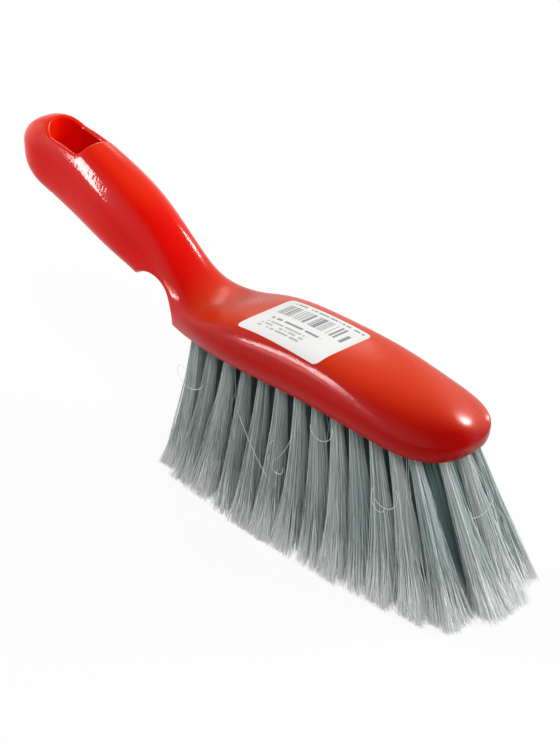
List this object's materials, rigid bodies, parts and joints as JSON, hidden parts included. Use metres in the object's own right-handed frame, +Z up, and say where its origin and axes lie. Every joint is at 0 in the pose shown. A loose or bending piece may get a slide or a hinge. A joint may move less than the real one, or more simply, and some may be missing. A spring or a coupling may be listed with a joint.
{
  "type": "hand broom",
  "caption": "Hand broom with a one-piece plastic block and upswept handle, a finger hollow, a hanging hole and rows of stapled bristle tufts that fan out to a level trim.",
  "frame": {"origin": "middle of the broom's outline on the floor that the trimmed bristles stand on", "axes": "+Z up, +X from the handle to the nose along the broom's length, +Y across it"},
  "size_m": [0.306, 0.075, 0.1318],
  "materials": {
    "moulding": "gloss",
    "bristle": "satin",
    "wire": "drawn",
    "paper": "coated paper"
  },
  "bodies": {
    "root": {"handle_block": "moulding", "label": "paper", "staples": "wire", "tuft_row1_01": "bristle", "tuft_row1_02": "bristle", "tuft_row1_03": "bristle", "tuft_row1_04": "bristle", "tuft_row1_05": "bristle", "tuft_row1_06": "bristle", "tuft_row1_07": "bristle", "tuft_row1_08": "bristle", "tuft_row1_09": "bristle", "tuft_row1_10": "bristle", "tuft_row1_11": "bristle", "tuft_row1_12": "bristle", "tuft_row1_13": "bristle", "tuft_row2_01": "bristle", "tuft_row2_02": "bristle", "tuft_row2_03": "bristle", "tuft_row2_04": "bristle", "tuft_row2_05": "bristle", "tuft_row2_06": "bristle", "tuft_row2_07": "bristle", "tuft_row2_08": "bristle", "tuft_row2_09": "bristle", "tuft_row2_10": "bristle", "tuft_row2_11": "bristle", "tuft_row2_12": "bristle", "tuft_row2_13": "bristle", "tuft_row2_14": "bristle", "tuft_row3_01": "bristle", "tuft_row3_02": "bristle", "tuft_row3_03": "bristle", "tuft_row3_04": "bristle", "tuft_row3_05": "bristle", "tuft_row3_06": "bristle", "tuft_row3_07": "bristle", "tuft_row3_08": "bristle", "tuft_row3_09": "bristle", "tuft_row3_10": "bristle", "tuft_row3_11": "bristle", "tuft_row3_12": "bristle", "tuft_row3_13": "bristle", "tuft_row3_14": "bristle", "tuft_row4_01": "bristle", "tuft_row4_02": "bristle", "tuft_row4_03": "bristle", "tuft_row4_04": "bristle", "tuft_row4_05": "bristle", "tuft_row4_06": "bristle", "tuft_row4_07": "bristle", "tuft_row4_08": "bristle", "tuft_row4_09": "bristle", "tuft_row4_10": "bristle", "tuft_row4_11": "bristle", "tuft_row4_12": "bristle", "tuft_row4_13": "bristle"}
  },
  "joints": []
}
